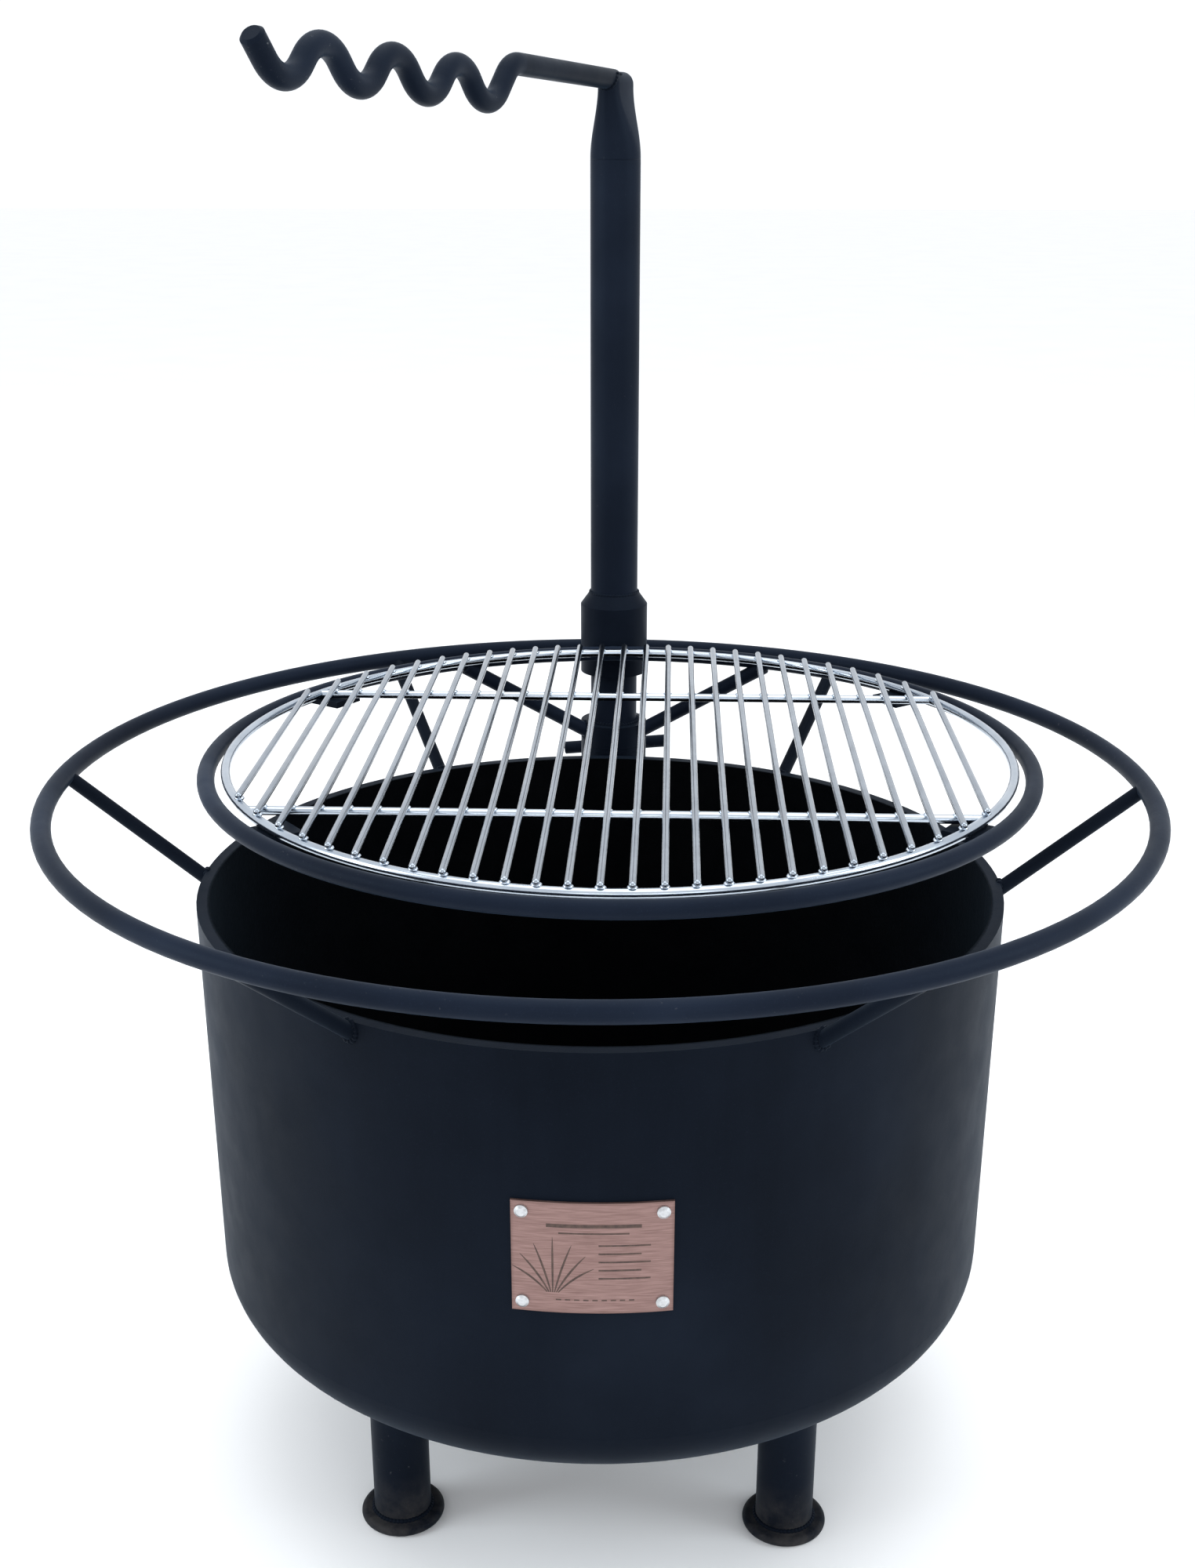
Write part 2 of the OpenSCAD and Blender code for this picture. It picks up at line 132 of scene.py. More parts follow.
# ---- material building blocks ----
class Mat:
    """Adds shader nodes to one material and links them."""

    def __init__(self, name):
        self.material = bpy.data.materials.new(name)
        self.material.use_nodes = True
        self.tree = self.material.node_tree
        self.tree.nodes.clear()
        out = self.tree.nodes.new("ShaderNodeOutputMaterial")
        self.bsdf = self.tree.nodes.new("ShaderNodeBsdfPrincipled")
        self.tree.links.new(self.bsdf.outputs[0], out.inputs[0])
        self.place = self.tree.nodes.new("ShaderNodeTexCoord").outputs["Object"]
        split = self.tree.nodes.new("ShaderNodeSeparateXYZ")
        self.put(split.inputs[0], self.place)
        self.x, self.y, self.z = split.outputs

    def put(self, socket, value):
        """Sets a socket to a colour or a number, or links it to another node's output."""
        if isinstance(value, tuple):
            socket.default_value = (*value, 1)
        elif isinstance(value, (int, float)):
            socket.default_value = value
        else:
            self.tree.links.new(value, socket)

    def noise(self, scale, detail=3.0, rough=0.5, stretch=None):
        n = self.tree.nodes.new("ShaderNodeTexNoise")
        n.inputs["Scale"].default_value = scale
        n.inputs["Detail"].default_value = detail
        n.inputs["Roughness"].default_value = rough
        place = self.place
        if stretch:
            mapping = self.tree.nodes.new("ShaderNodeMapping")
            mapping.inputs["Scale"].default_value = stretch
            self.put(mapping.inputs["Vector"], place)
            place = mapping.outputs[0]
        self.put(n.inputs["Vector"], place)
        return n.outputs["Fac"]

    def cells(self, scale):
        n = self.tree.nodes.new("ShaderNodeTexVoronoi")
        n.inputs["Scale"].default_value = scale
        self.put(n.inputs["Vector"], self.place)
        return n.outputs["Distance"]

    def ramp(self, source, stops):
        n = self.tree.nodes.new("ShaderNodeValToRGB")
        while len(n.color_ramp.elements) < len(stops):
            n.color_ramp.elements.new(0.5)
        for element, (position, value) in zip(n.color_ramp.elements, stops):
            element.position = position
            element.color = (*value, 1) if isinstance(value, tuple) else (value, value, value, 1)
        self.put(n.inputs[0], source)
        return n.outputs[0]

    def math(self, operation, *values, clamp=False):
        n = self.tree.nodes.new("ShaderNodeMath")
        n.operation = operation
        n.use_clamp = clamp
        for socket, value in zip(n.inputs, values):
            self.put(socket, value)
        return n.outputs[0]

    def hypot(self, a, b):
        squares = self.math("ADD", self.math("MULTIPLY", a, a), self.math("MULTIPLY", b, b))
        return self.math("SQRT", squares)

    def mix(self, fac, a, b):
        n = self.tree.nodes.new("ShaderNodeMix")
        n.data_type = "RGBA"
        self.put(n.inputs[0], fac)
        self.put(n.inputs[6], a)
        self.put(n.inputs[7], b)
        return n.outputs[2]

    def mix_normals(self, fac, a, b):
        n = self.tree.nodes.new("ShaderNodeMix")
        n.data_type = "VECTOR"
        self.put(n.inputs[0], fac)
        self.put(n.inputs[4], a)
        self.put(n.inputs[5], b)
        return n.outputs[1]

    def span(self, value, lo, hi):
        """0 at lo and 1 at hi, and clamped beyond them."""
        n = self.tree.nodes.new("ShaderNodeMapRange")
        n.inputs["From Min"].default_value = lo
        n.inputs["From Max"].default_value = hi
        self.put(n.inputs["Value"], value)
        return n.outputs[0]

    def bump(self, height, strength, dist, under=None):
        n = self.tree.nodes.new("ShaderNodeBump")
        n.inputs["Strength"].default_value = strength
        n.inputs["Distance"].default_value = dist
        self.put(n.inputs["Height"], height)
        if under is not None:
            self.put(n.inputs["Normal"], under)
        return n.outputs[0]

    def finish(self, **values):
        """Fills the shader's sockets, named by the keys of SOCKETS."""
        for key, value in values.items():
            self.put(self.bsdf.inputs[SOCKETS[key]], value)
        return self.material


SOCKETS = {
    "color": "Base Color",
    "metallic": "Metallic",
    "rough": "Roughness",
    "normal": "Normal",
    "spec": "Specular IOR Level",
    "tint": "Specular Tint",
    "sheen": "Sheen Weight",
    "sheen_rough": "Sheen Roughness",
    "sheen_tint": "Sheen Tint",
}

# ---- materials ----
NAVY = (0.0040, 0.0058, 0.0104)
NAVY_LIGHT = (0.0068, 0.0098, 0.0170)
NAVY_DARK = (0.0027, 0.0038, 0.0068)
BARE_STEEL = (0.16, 0.165, 0.17)
PALE_DUST = (0.11, 0.10, 0.09)
DUST_TOP = 0.05
# near-black of the bowl's inside: soot, made darker still as painted shade
SOOT_AND_SHADE_DARK = (0.0005, 0.0005, 0.0006)
SOOT_AND_SHADE_LIGHT = (0.0022, 0.0022, 0.0025)
CHROME_LIGHT = (0.80, 0.89, 1.0)
CHROME_DULL = (0.64, 0.72, 0.82)
CHROME_HEATED = (0.80, 0.71, 0.57)
ZINC_COLOR = (0.55, 0.56, 0.57)
ZINC_GRIME = (0.13, 0.12, 0.11)
COPPER_DARK = (0.180, 0.106, 0.095)
COPPER_LIGHT = (0.290, 0.182, 0.165)
COPPER_TARNISH = (0.13, 0.075, 0.065)
COPPER_EDGE = (0.09, 0.05, 0.04)
COPPER_EDGE_WIDTH = 0.0022
ETCH_DARK = (0.040, 0.022, 0.018)
ETCH_LIGHT = (0.085, 0.050, 0.038)
FLOOR_DARK = (0.915, 0.915, 0.915)
FLOOR_LIGHT = (0.94, 0.94, 0.938)
SHINE = {
    "spec": 0.035,
    "tint": (0.60, 0.80, 1.0),
    "sheen": 0.035,
    "sheen_rough": 0.45,
    "sheen_tint": (0.45, 0.70, 1.0),
}


def scaled(color, gain):
    return tuple(v * gain for v in color)


def paint_color(m, gain=1.0):
    """Blue-black stove paint: cloudy colour with fine lighter flecks. A gain above 1 lightens the whole
    paint as painted light.
    """
    base, light, dark = (scaled(c, gain) for c in (NAVY, NAVY_LIGHT, NAVY_DARK))
    cloud = m.ramp(m.noise(5.5, 4), [(0.33, dark), (0.55, base), (0.75, light)])
    fleck = m.ramp(m.noise(900, 2), [(0.60, 0.0), (0.72, 1.0)])
    return m.mix(m.math("MULTIPLY", fleck, 0.35), cloud, light)


def paint_bump(m):
    """Orange peel: a fine grain over broader ripples."""
    fine = m.bump(m.noise(1100, 2, 0.6), 0.22, 0.00025)
    return m.bump(m.noise(95, 3), 0.154, 0.0006, fine)


def painted(name, wear, gain=1.0, dust=False):
    m = Mat(name)
    color = paint_color(m, gain)
    rough = m.math("MULTIPLY_ADD", m.noise(38, 4), 0.22, 0.31)
    spots = m.ramp(m.noise(260, 5, 0.7), [(0.66, 0.0), (0.70, 1.0)])
    region = m.ramp(m.noise(9, 3), [(0.45, 0.0), (0.62, 1.0)])
    worn = m.math("MULTIPLY", m.math("MULTIPLY", spots, region), wear)
    color = m.mix(worn, color, BARE_STEEL)
    metallic = m.math("MULTIPLY", worn, 0.8)
    if dust:
        patches = m.ramp(m.noise(60, 5, 0.65), [(0.35, 0.1), (0.7, 1.0)])
        low = m.math("MULTIPLY", m.span(m.z, DUST_TOP, 0.0), patches, clamp=True)
        color = m.mix(m.math("MULTIPLY", low, 0.35), color, PALE_DUST)
        rough = m.math("ADD", rough, m.math("MULTIPLY", low, 0.3), clamp=True)
    return m.finish(color=color, rough=rough, metallic=metallic, normal=paint_bump(m), **SHINE)


def soot_and_shade_mask(m):
    """1 on the inner faces of the bowl wall and the dished end, 0 outside and on the lip."""
    seam = 0.0005
    r = m.hypot(m.x, m.y)
    ragged = m.math("MULTIPLY_ADD", m.noise(260, 4), 0.0012, -0.0006)
    inside = m.span(m.math("ADD", r, ragged), BOWL_R - 0.0074, BOWL_R - 0.0088)
    wall = m.math("MULTIPLY", inside, m.math("GREATER_THAN", m.z, WALL_LOW - seam))

    def inner_face(centre_r, centre_z, outer_radius):
        distance = m.hypot(m.math("SUBTRACT", r, centre_r), m.math("SUBTRACT", m.z, centre_z))
        return m.span(distance, outer_radius - 0.003, outer_radius - 0.005)

    dish = inner_face(0.0, DISH_Z, DISH_R)
    knuckle = inner_face(KNUCKLE_C, WALL_LOW, KNUCKLE_R)
    at_knuckle = m.math("GREATER_THAN", r, KNUCKLE_C * 1.05)
    at_dish = m.math("SUBTRACT", 1.0, at_knuckle)
    cup = m.math("ADD", m.math("MULTIPLY", at_knuckle, knuckle), m.math("MULTIPLY", at_dish, dish))
    cup = m.math("MULTIPLY", cup, m.math("LESS_THAN", m.z, WALL_LOW + seam))
    return m.math("MAXIMUM", wall, cup, clamp=True)


def bowl_material(name):
    """Painted outside and on the lip, near-black inside: soot, darkened further as painted shade."""
    m = Mat(name)
    mask = soot_and_shade_mask(m)
    streak = m.ramp(m.noise(30, 4, 0.6, (1.0, 1.0, 0.12)), [(0.40, 0.0), (0.80, 1.0)])
    paint = m.mix(m.math("MULTIPLY", streak, 0.22), paint_color(m), NAVY_LIGHT)
    # inside colour: soot and painted shade
    soot_and_shade = m.ramp(m.noise(22, 6, 0.7), [(0.3, SOOT_AND_SHADE_DARK), (0.75, SOOT_AND_SHADE_LIGHT)])
    rough = m.math("MULTIPLY_ADD", m.noise(38, 4), 0.20, 0.42)
    rough = m.math("ADD", rough, m.math("MULTIPLY", mask, 0.38), clamp=True)
    crust = m.bump(m.noise(240, 6, 0.7), 0.45, 0.0012)
    normal = m.mix_normals(mask, paint_bump(m), crust)
    return m.finish(color=m.mix(mask, paint, soot_and_shade), rough=rough, normal=normal, **SHINE)


def chrome_material(name, gain):
    m = Mat(name)
    haze = m.ramp(m.noise(30, 4), [(0.35, scaled(CHROME_LIGHT, gain)), (0.70, scaled(CHROME_DULL, gain))])
    heat = m.ramp(m.noise(7, 3), [(0.58, 0.0), (0.80, 1.0)])
    color = m.mix(m.math("MULTIPLY", heat, 0.25), haze, scaled(CHROME_HEATED, gain))
    rough = m.math("MULTIPLY_ADD", m.noise(120, 4), 0.14, 0.12)
    return m.finish(color=color, metallic=1.0, rough=rough, normal=m.bump(m.noise(700, 2), 0.12, 0.0002))


def zinc_material(name):
    m = Mat(name)
    spangle = m.ramp(m.cells(420), [(0.0, scaled(ZINC_COLOR, 0.82)), (0.6, ZINC_COLOR)])
    grime = m.ramp(m.noise(110, 5, 0.7), [(0.45, 0.0), (0.85, 1.0)])
    color = m.mix(m.math("MULTIPLY", grime, 0.45), spangle, ZINC_GRIME)
    rough = m.math("MULTIPLY_ADD", m.noise(300, 3), 0.25, 0.25)
    return m.finish(color=color, metallic=0.92, rough=rough, normal=m.bump(m.noise(900, 2), 0.2, 0.0002))


def copper_material(name):
    """Brushed copper sheet, tarnished in patches and darker along its edge."""
    m = Mat(name)
    grain = m.noise(60, 3, 0.5, (1.0, 1.0, 24.0))
    color = m.ramp(grain, [(0.30, COPPER_DARK), (0.70, COPPER_LIGHT)])
    tarnish = m.ramp(m.noise(38, 5, 0.65), [(0.50, 0.0), (0.85, 1.0)])
    color = m.mix(m.math("MULTIPLY", tarnish, 0.35), color, COPPER_TARNISH)
    across = m.math("ABSOLUTE", m.math("SUBTRACT", m.x, PLATE_X))
    up = m.math("ABSOLUTE", m.math("SUBTRACT", m.z, PLATE_Z))
    past_w = m.math("SUBTRACT", across, PLATE_HALF_W)
    past_h = m.math("SUBTRACT", up, PLATE_HALF_H)
    edge = m.span(m.math("MAXIMUM", past_w, past_h), -COPPER_EDGE_WIDTH, 0.0)
    color = m.mix(m.math("MULTIPLY", edge, 0.4), color, COPPER_EDGE)
    rough = m.math("MULTIPLY_ADD", grain, 0.22, 0.30)
    return m.finish(color=color, metallic=0.75, rough=rough, normal=m.bump(grain, 0.15, 0.0002))


def etch_material(name):
    m = Mat(name)
    color = m.ramp(m.noise(300, 4), [(0.3, ETCH_DARK), (0.7, ETCH_LIGHT)])
    rough = m.math("MULTIPLY_ADD", m.noise(500, 2), 0.2, 0.5)
    return m.finish(color=color, rough=rough, metallic=0.2, normal=m.bump(m.noise(800, 2), 0.2, 0.0001))


def weld_material(name):
    m = Mat(name)
    rough = m.math("MULTIPLY_ADD", m.noise(200, 4), 0.2, 0.36)
    normal = m.bump(m.noise(420, 4, 0.6), 0.4, 0.0006)
    return m.finish(color=paint_color(m), rough=rough, normal=normal, **SHINE)


def floor_material(name):
    m = Mat(name)
    color = m.ramp(m.noise(3, 5, 0.55), [(0.3, FLOOR_DARK), (0.7, FLOOR_LIGHT)])
    rough = m.math("MULTIPLY_ADD", m.noise(40, 4), 0.1, 0.7)
    return m.finish(color=color, rough=rough, normal=m.bump(m.noise(240, 4), 0.05, 0.0005))


PAINT = painted("satin_stove_paint", wear=0.25)
# the bars and the post get the same paint lightened by gain: painted light
PAINT_BAR_LIT = painted("lit_bar_stove_paint", wear=0.25, gain=2.1)
PAINT_POST_LIT = painted("lit_post_stove_paint", wear=0.2, gain=1.5)
# the handle's paint: real rubbed wear, and lightened by gain as painted light
PAINT_RUBBED_AND_LIT = painted("handled_and_lit_stove_paint", wear=0.7, gain=1.45)
PAINT_FOOT = painted("dusty_stove_paint", wear=0.3, dust=True)
BOWL = bowl_material("bowl_paint_soot_and_shade")
# one chrome at three brightnesses by gain, painted shade and light: darkest on the bars, lighter on the rim
# wire, lightest on the weld nubs
CHROME_BARS = chrome_material("chrome_bars", 0.44)
CHROME_WIRE = chrome_material("chrome_rim_wire", 0.62)
CHROME_NUB = chrome_material("chrome_nubs", 0.85)
ZINC = zinc_material("zinc_plate")
COPPER = copper_material("brushed_copper")
ETCH = etch_material("etched_fill")
WELD = weld_material("painted_weld")

# nodes that aren't named here have the plain paint
LOOKS = {
    "bowl_shell": BOWL,
    "dished_bottom": BOWL,
    "hoop_rail": PAINT_BAR_LIT,
    "grate_ring": PAINT_BAR_LIT,
    "brace_left": PAINT_BAR_LIT,
    "brace_right": PAINT_BAR_LIT,
    "post_tube": PAINT_POST_LIT,
    "wave_grip": PAINT_RUBBED_AND_LIT,
    "clamp_tee_bar": PAINT_RUBBED_AND_LIT,
    "name_plate": COPPER,
    "plate_screws": ZINC,
    "clamp_nut": ZINC,
    "clamp_screw": ZINC,
    "clamp_head": ZINC,
    "grate_bars": CHROME_BARS,
    "grate_rim": CHROME_WIRE,
    "grate_cross_rods": CHROME_WIRE,
}
for name, node in nodes.items():
    look = PAINT_FOOT if name.startswith(("foot_", "leg_")) else LOOKS.get(name, PAINT)
    node.data.materials.clear()
    node.data.materials.append(look)


# ---- mesh helpers ----
def add_mesh(name, bm, material, body, smooth=True):
    """Makes a piece from bm that rides on a body. End caps, with more than four corners, stay flat."""
    mesh = bpy.data.meshes.new(name)
    bmesh.ops.recalc_face_normals(bm, faces=bm.faces)
    bm.to_mesh(mesh)
    bm.free()
    for face in mesh.polygons:
        face.use_smooth = smooth and len(face.vertices) <= 4
    piece = bpy.data.objects.new(name, mesh)
    bpy.context.scene.collection.objects.link(piece)
    mesh.materials.append(material)
    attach(piece, body)
    return piece


def skin(bm, rings, closed=False):
    """Faces between neighbouring rings of vertices, with a cap at each end unless the rings close up."""
    pairs = list(zip(rings, rings[1:]))
    if closed:
        pairs.append((rings[-1], rings[0]))
    for a, b in pairs:
        count = len(a)
        for k in range(count):
            bm.faces.new((a[k], a[(k + 1) % count], b[(k + 1) % count], b[k]))
    if not closed:
        bm.faces.new(rings[0])
        bm.faces.new(rings[-1])


def turns(steps):
    """Angles spread evenly over a full turn."""
    return [2 * math.pi * i / steps for i in range(steps)]


BEAD_SIDES = 8
RIPPLE_PITCH = 0.0028
RIPPLE = 0.16
LUMPS = 0.18


def bead(bm, path, size, seed, closed=True, across=Vector((0.31, 0.17, 0.93))):
    """A weld bead: a lumpy rounded cord laid along path, with the close ripples of a hand-run weld."""
    count = len(path)
    rings = []
    run = 0.0
    for i in range(count):
        before = path[(i - 1) % count] if closed or i else path[i]
        after = path[(i + 1) % count] if closed or i < count - 1 else path[i]
        along = (after - before).normalized()
        side = along.cross(across).normalized()
        up = along.cross(side)
        if i:
            run += (path[i] - path[i - 1]).length
        lump = 1 + RIPPLE * math.sin(run * 2 * math.pi / RIPPLE_PITCH)
        lump += LUMPS * noise.noise(path[i] * 160 + Vector((seed, 0, 0)))
        if not closed:
            lump *= max(0.25, math.sin(math.pi * (i + 0.5) / count)) ** 0.35
        r = size * lump
        rings.append([bm.verts.new(path[i] + side * r * math.cos(t) + up * r * math.sin(t))
                      for t in turns(BEAD_SIDES)])
    skin(bm, rings, closed)


def crossing(at, reach, inside):
    """The place between at(0) and at(reach) where inside() changes, or None where it doesn't."""
    lo, hi = 0.0, reach
    first = inside(at(lo))
    if inside(at(hi)) == first:
        return None
    for _ in range(26):
        mid = (lo + hi) / 2
        if inside(at(mid)) == first:
            lo = mid
        else:
            hi = mid
    return at(hi)


def weld_round(bm, start, along, radius, reach, inside, size, seed, steps=96):
    """A bead where the whole skin of a round bar meets the surface that bounds inside()."""
    along = along.normalized()
    side = along.orthogonal().normalized()
    up = along.cross(side)
    line = []
    for t in turns(steps):
        base = start + side * radius * math.cos(t) + up * radius * math.sin(t)
        line.append(crossing(lambda s: base + along * s, reach, inside))
    if None not in line:
        bead(bm, line, size, seed)


def in_tube(axis, radius):
    """Tells whether a point is inside an upright cylinder."""
    return lambda p: math.hypot(p.x - axis.x, p.y - axis.y) < radius


def around_post(angle):
    return Matrix.Translation(POST) @ Matrix.Rotation(angle, 4, "Z") @ Matrix.Translation(-POST)


in_bowl = in_tube(Vector(), BOWL_R)
in_hub = in_tube(POST, HUB_R)


# ---- welds on the base ----
def weld_struts(bm):
    """Beads at the struts' feet, on the bowl."""
    for k in range(STRUT_COUNT):
        angle = math.radians(k * 360 / STRUT_COUNT)
        out = Vector((math.cos(angle), math.sin(angle), 0))
        foot = out * (BOWL_R - STRUT_SINK) + Vector((0, 0, RIM_Z - STRUT_DROP))
        head = out * (HOOP_R - STRUT_INSET) + Vector((0, 0, HOOP_Z - STRUT_INSET))
        along = (head - foot).normalized()
        start = foot - along * 0.012
        weld_round(bm, start, along, STRUT_R, reach=0.06, inside=in_bowl, size=0.0021, seed=k)


def weld_legs(bm):
    """Beads at both ends of the legs, on the dish and on the foot discs."""
    up = Vector((0, 0, 1))
    dish_centre = up * DISH_Z

    def in_dish(p):
        return (p - dish_centre).length < DISH_R

    for k, leg in enumerate(("leg_front_left", "leg_front_right", "leg_rear_left", "leg_rear_right")):
        lo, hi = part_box(leg)
        axis = axis_of(lo, hi)
        r = (hi.x - lo.x) / 2
        start = axis + up * 0.06
        weld_round(bm, start, up, r, reach=0.12, inside=in_dish, size=0.0026, seed=k + 20, steps=180)
        foot = [axis + Vector((r * math.cos(t), r * math.sin(t), lo.z)) for t in turns(180)]
        bead(bm, foot, size=0.0022, seed=k + 30)


def weld_saddles(bm):
    """Upright beads down both edges of the saddles, on the bowl and on the receiver."""
    for k, saddle in enumerate(("saddle_upper", "saddle_lower")):
        lo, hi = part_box(saddle)
        at_bowl = math.sqrt(BOWL_R**2 - hi.x**2) + SKIN_GAP
        at_receiver = RECEIVER.y - math.sqrt(RECEIVER_R**2 - hi.x**2)
        for s in (-1, 1):
            for y, seed in ((at_bowl, k + 40), (at_receiver, k + 44)):
                path = [Vector((s * hi.x, y, lo.z + (hi.z - lo.z) * i / 14)) for i in range(15)]
                bead(bm, path, size=0.0022, seed=seed, closed=False)


def weld_nut(bm):
    """A bead round the clamp nut, on the receiver."""
    start = NUT_C + Vector((0, 0.012, 0))
    out = Vector((0, 1, 0))
    in_receiver = in_tube(RECEIVER, RECEIVER_R)
    weld_round(bm, start, out, NUT_WELD_R, reach=0.03, inside=in_receiver, size=0.0016, seed=50)


base_welds = bmesh.new()
weld_struts(base_welds)
weld_legs(base_welds)
weld_saddles(base_welds)
weld_nut(base_welds)
add_mesh("weld_beads_base", base_welds, WELD, "base")


# ---- welds on the swing arm ----
def weld_braces(bm):
    """Beads at the braces' feet, on the hub."""
    turn = around_post(SWING)
    for k, s in enumerate((-1, 1)):
        foot = turn @ Vector((s * BRACE_FOOT.x, POST.y + BRACE_FOOT.y, RIM_Z + BRACE_FOOT.z))
        head_y = math.sqrt(RING_R**2 - BRACE_HEAD_X**2) - BRACE_HEAD_IN
        head = turn @ Vector((s * BRACE_HEAD_X, head_y, RING_C.z - BRACE_HEAD_DROP))
        along = (head - foot).normalized()
        weld_round(bm, foot, along, BRACE_R, reach=0.06, inside=in_hub, size=0.0019, seed=k + 60)


def weld_sleeves(bm):
    """Beads round the post at the ends of its collar and hub."""
    r = POST_R + SKIN_GAP
    for z, size in ((COLLAR_TOP, 0.0022), (hub_hi.z, 0.0012), (hub_lo.z, 0.0020)):
        path = [POST + Vector((r * math.cos(t), r * math.sin(t), z)) for t in turns(200)]
        bead(bm, path, size, seed=z * 100)


def weld_ring(bm):
    """One bead round the patch where the grate ring touches the hub."""
    from_ring = POST - Vector((RING_C.x, RING_C.y, 0))
    patch = math.acos((from_ring.length - RING_R - HUB_R) / BAR_R)
    steps = 40
    path = []
    for i in range(steps):
        around = 2 * math.pi * (i + 0.5) / steps
        t = patch * math.sin(around)
        r = RING_R + BAR_R * math.cos(t)

        def on_ring(a):
            w = math.pi / 2 + SWING + a
            return RING_C + Vector((r * math.cos(w), r * math.sin(w), BAR_R * math.sin(t)))

        path.append(crossing(on_ring, math.copysign(0.35, math.cos(around)), in_hub))
    if None not in path:
        bead(bm, path, size=0.0018, seed=80, across=from_ring)


arm_turn = Matrix.Translation(POST) @ Matrix.Rotation(SWING + ARM_TURN, 4, "Z")


def weld_arm(bm):
    """A bead over the handle bar where it runs into the squashed end of the post."""
    tilt = Matrix.Rotation(-ARM_TILT, 4, "Y")
    to_arm = arm_turn @ Matrix.Translation(Vector((0, 0, ARM_Z))) @ tilt
    over = []
    for i in range(61):
        t = math.radians(149.0 + 242.0 * i / 60)
        y, z = ARM_SKIN * math.cos(t), ARM_SKIN * math.sin(t)
        depth = math.sqrt(max(TONGUE_R**2 - y * y - (z + TONGUE_DROP) ** 2, 0))
        over.append(Vector((TONGUE_HALF + depth, y, z)))
    lead = [Vector((0.005 + 0.0008 * i, over[0].y, over[0].z)) for i in range(10)]
    tail = [Vector((0.0122 - 0.0008 * i, over[-1].y, over[-1].z)) for i in range(10)]
    bead(bm, [to_arm @ p for p in lead + over + tail], size=0.0015, seed=90, closed=False)


def post_crown():
    """The squashed end of the post, as one smooth loft from the round pipe to a flat-sided tongue."""
    bm = bmesh.new()
    sides = 48
    top_middle = ARM_Z - TONGUE_DROP
    levels = [CROWN_LOW + (top_middle - CROWN_LOW) * i / 36 for i in range(37)]
    levels += [top_middle + TONGUE_R * math.sin(math.radians(a)) for a in range(9, 90, 9)]
    rings = []
    for z in levels:
        squash = min(max((z - CROWN_LOW - 0.002) / TONGUE_LEAD, 0.0), 1.0)
        squash = squash * squash * (3 - 2 * squash)
        r = POST_R + (TONGUE_R - POST_R) * squash
        if z > top_middle:
            r = math.sqrt(TONGUE_R**2 - (z - top_middle) ** 2)
        ring = []
        for i in range(sides):
            t = 2 * math.pi * (i + 0.5) / sides
            shift = math.copysign(TONGUE_HALF * squash, math.cos(t))
            ring.append(bm.verts.new(arm_turn @ Vector((shift + r * math.cos(t), r * math.sin(t), z))))
        rings.append(ring)
    skin(bm, rings)
    return add_mesh("post_crown_smooth", bm, PAINT_POST_LIT, "swing_arm")


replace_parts(post_crown(), "post_crown")
arm_welds = bmesh.new()
weld_braces(arm_welds)
weld_sleeves(arm_welds)
weld_ring(arm_welds)
weld_arm(arm_welds)
add_mesh("weld_beads_arm", arm_welds, WELD, "swing_arm")


# ---- resistance welds of the loose grate: a small squeezed nub at every crossing ----
def grate_nubs():
    bm = bmesh.new()
    for i in range(ROD_COUNT):
        x = (i - (ROD_COUNT - 1) / 2) * ROD_PITCH + ROD_SHIFT
        reach = math.sqrt(WIRE_RING**2 - x * x)
        end = reach - 0.0022
        for y in (-end, -CROSS_Y, CROSS_Y, end):
            if abs(y) > reach:
                continue
            spot = Vector((WIRE_C.x + x, WIRE_C.y + y, WIRE_C.z + WIRE_R * 0.94))
            size = 0.0026 + 0.0004 * noise.noise(spot * 90)
            for v in bmesh.ops.create_icosphere(bm, subdivisions=2, radius=size)["verts"]:
                squeezed = Vector((v.co.x * 1.35, v.co.y * 1.25, v.co.z * 0.62))
                v.co = spot + squeezed * (1 + 0.15 * noise.noise((spot + v.co) * 420))
    add_mesh("grate_weld_nubs", bm, CHROME_NUB, "cooking_grate")


grate_nubs()


# ---- name plate: generic etched blades of grass and rules, no lettering ----
def on_plate(x, z, lift):
    """A point x along the plate's curve and z above its middle, lift above its face."""
    r = PLATE_R + lift
    a = x / PLATE_R + PLATE_TURN
    return Vector((r * math.sin(a), -r * math.cos(a), PLATE_Z + z))


def stroke(bm, points, width):
    """A thin inlay along (x, z) points; width is a function of 0..1 along it."""
    thick = 0.0001
    last = len(points) - 1
    rings = []
    for i, (x, z) in enumerate(points):
        ax, az = points[max(i - 1, 0)]
        bx, bz = points[min(i + 1, last)]
        length = math.hypot(bx - ax, bz - az)
        nx, nz = -(bz - az) / length, (bx - ax) / length
        half = width(i / last) / 2
        corners = ((half, -thick), (half, thick), (-half, thick), (-half, -thick))
        rings.append([bm.verts.new(on_plate(x + nx * w, z + nz * w, lift)) for w, lift in corners])
    skin(bm, rings)


def rule(bm, x0, x1, z, width):
    """A level line from x0 to x1."""
    steps = 24
    stroke(bm, [(x0 + (x1 - x0) * i / steps, z) for i in range(steps + 1)], lambda t: width)


def blade(bm, x, z, length, lean, curl, width):
    """A blade of grass from its root at x, z, leaning and curling by degrees to the right."""
    steps = 16
    points = []
    for i in range(steps + 1):
        a = math.radians(90 - lean - curl * i / steps)
        points.append((x, z))
        x += math.cos(a) * length / steps
        z += math.sin(a) * length / steps
    stroke(bm, points, lambda t: width * (0.25 + 1.5 * t) * (1 - t) ** 0.8 + 0.0002)


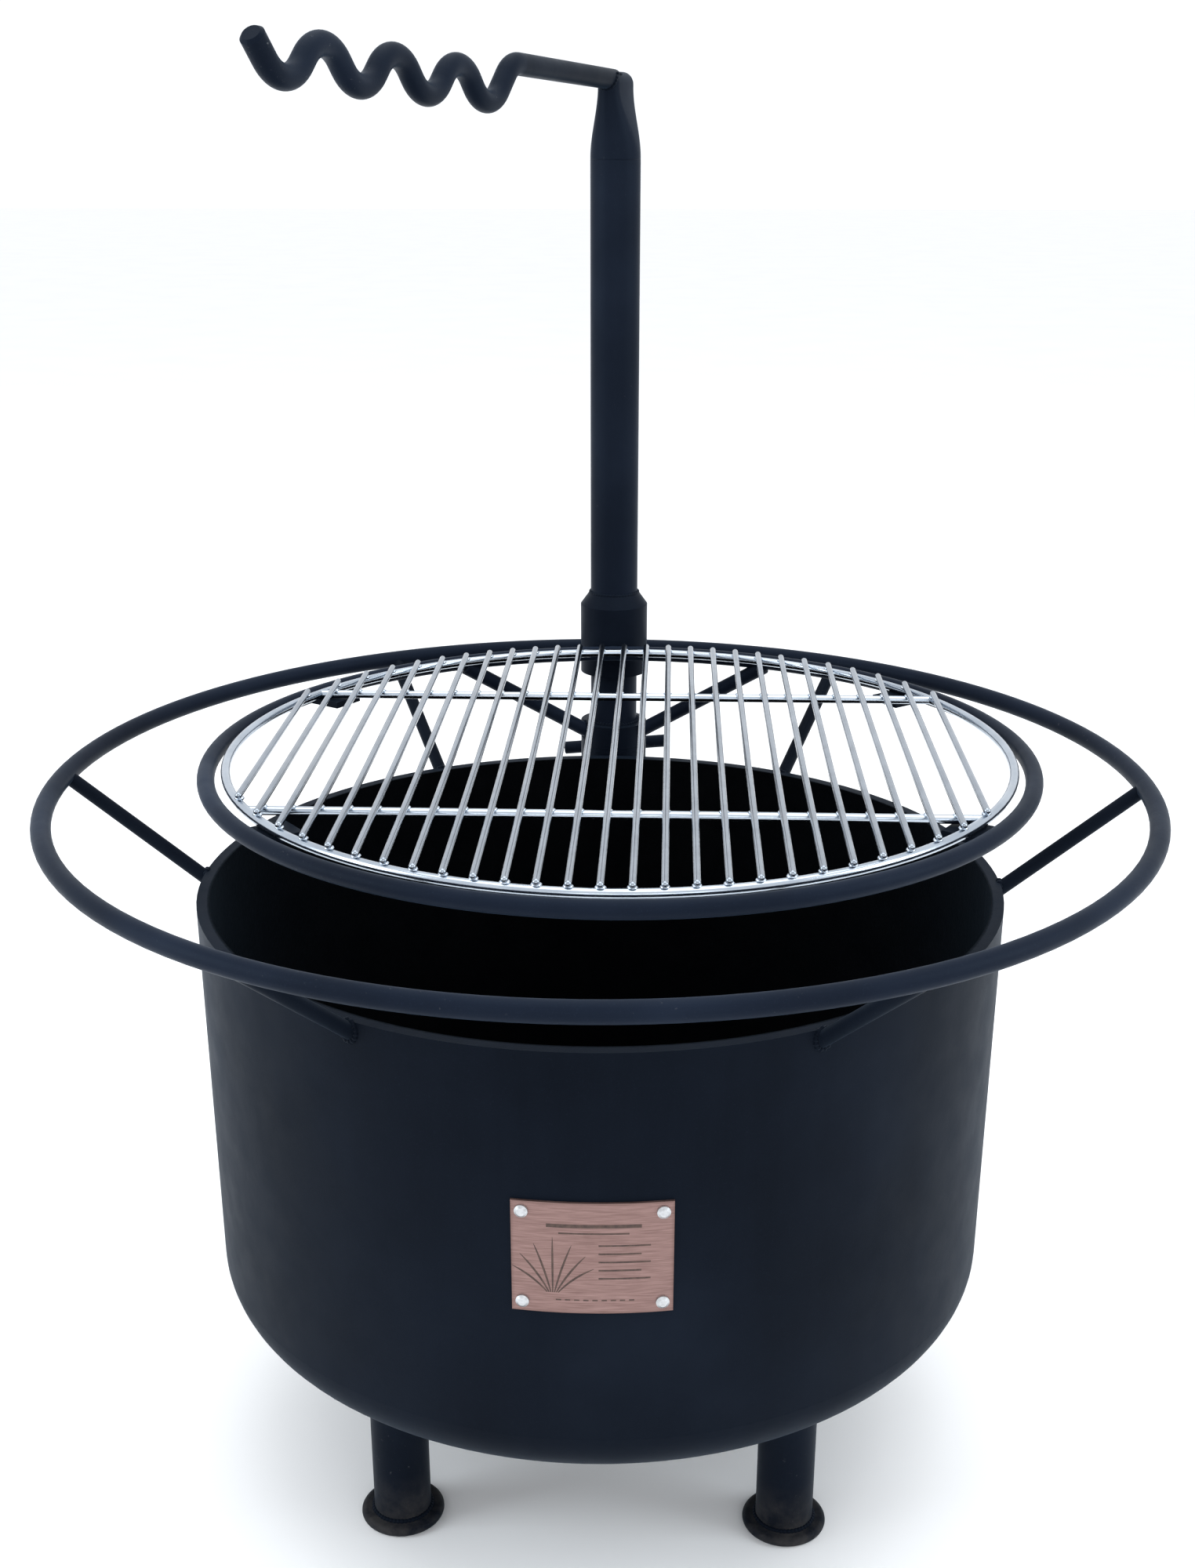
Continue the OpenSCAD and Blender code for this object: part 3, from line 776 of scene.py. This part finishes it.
def plate_etching():
    bm = bmesh.new()
    for k in range(-3, 4):
        blade(bm, -0.026 + 0.0012 * k, -0.026, 0.030 + 0.004 * (3 - abs(k)), k * 13, k * 9, 0.0021)
    for k in range(5):
        rule(bm, 0.004, 0.038 - 0.006 * (k % 2), 0.010 - 0.0062 * k, 0.0012)
    rule(bm, -0.030, 0.032, 0.0245, 0.0026)
    rule(bm, -0.022, 0.024, 0.0190, 0.0012)
    for k in range(9):
        rule(bm, -0.024 + 0.006 * k, -0.0205 + 0.006 * k, -0.0315, 0.0010)
    add_mesh("plate_etching", bm, ETCH, "base", smooth=False)


def cross_slot(bm, place, out, side, twist):
    """Two slots across a screw head at place, whose face looks along out."""
    up = Vector((0, 0, 1))
    for angle in (twist, twist + math.pi / 2):
        along = side * math.cos(angle) + up * math.sin(angle)
        across = side * -math.sin(angle) + up * math.cos(angle)
        rings = []
        for s, half in ((-0.0021, 0.00028), (0.0, 0.00042), (0.0021, 0.00028)):
            corners = ((half, -0.0002), (half, 0.00004), (-half, 0.00004), (-half, -0.0002))
            rings.append([bm.verts.new(place + along * s + across * w + out * lift) for w, lift in corners])
        skin(bm, rings)


def screw_slots():
    bm = bmesh.new()
    for sx in (-1, 1):
        for sz in (-1, 1):
            a = PLATE_TURN + sx * math.asin(PLATE_SCREW_X / PLATE_R)
            out = Vector((math.sin(a), -math.cos(a), 0))
            side = Vector((math.cos(a), math.sin(a), 0))
            place = out * SCREW_HEAD_R + Vector((0, 0, PLATE_Z + sz * PLATE_SCREW_Z))
            cross_slot(bm, place, out, side, 0.6 * sx + 0.9 * sz)
    add_mesh("screw_slots", bm, ETCH, "base", smooth=False)


plate_etching()
screw_slots()


# ---- floor, light and camera ----
def link(ob):
    bpy.context.scene.collection.objects.link(ob)


def pale_floor():
    bm = bmesh.new()
    bmesh.ops.create_grid(bm, x_segments=40, y_segments=40, size=30.0)
    mesh = bpy.data.meshes.new("floor")
    bm.to_mesh(mesh)
    bm.free()
    mesh.materials.append(floor_material("pale_floor"))
    floor = bpy.data.objects.new("floor", mesh)
    link(floor)


def area_light(name, place, target, size, power, color):
    data = bpy.data.lights.new(name, "AREA")
    data.shape = "RECTANGLE"
    data.size, data.size_y = size
    data.energy = power
    data.color = color
    light = bpy.data.objects.new(name, data)
    light.location = place
    light.rotation_euler = (Vector(target) - Vector(place)).to_track_quat("-Z", "Y").to_euler()
    link(light)


def bright_world():
    world = bpy.data.worlds.new("studio")
    bpy.context.scene.world = world
    world.use_nodes = True
    background = world.node_tree.nodes["Background"]
    background.inputs["Color"].default_value = (0.95, 0.97, 1.0, 1)
    background.inputs["Strength"].default_value = 1.10


def matched_camera(yaw, pitch):
    """The photograph's view: turned left by yaw and looking down by pitch."""
    data = bpy.data.cameras.new("camera")
    data.sensor_width = 36.0
    data.lens = 43.27
    data.shift_y = 0.0815
    data.clip_end = 60.0
    camera = bpy.data.objects.new("camera", data)
    camera.location = (0.0499, -1.3510, 1.0100)
    look = Vector((-math.sin(yaw) * math.cos(pitch), math.cos(yaw) * math.cos(pitch), -math.sin(pitch)))
    camera.rotation_euler = look.to_track_quat("-Z", "Y").to_euler()
    link(camera)
    bpy.context.scene.camera = camera


pale_floor()
area_light("top_soft", (0.2, 0.3, 4.2), (0, 0, 0.4), (4.0, 4.0), 90, (0.96, 0.98, 1.0))
area_light("left_soft", (-2.8, -0.9, 1.7), (0, 0, 0.5), (1.3, 2.2), 42, (0.86, 0.94, 1.0))
area_light("right_soft", (2.9, -0.6, 1.8), (0, 0, 0.5), (1.3, 2.2), 36, (0.86, 0.94, 1.0))
area_light("front_low", (0.5, -3.4, 1.4), (0, 0, 0.4), (2.4, 1.2), 12, (0.9, 0.95, 1.0))
bright_world()
matched_camera(math.radians(2.2), math.radians(22.29))
bpy.context.scene.view_settings.view_transform = "Standard"
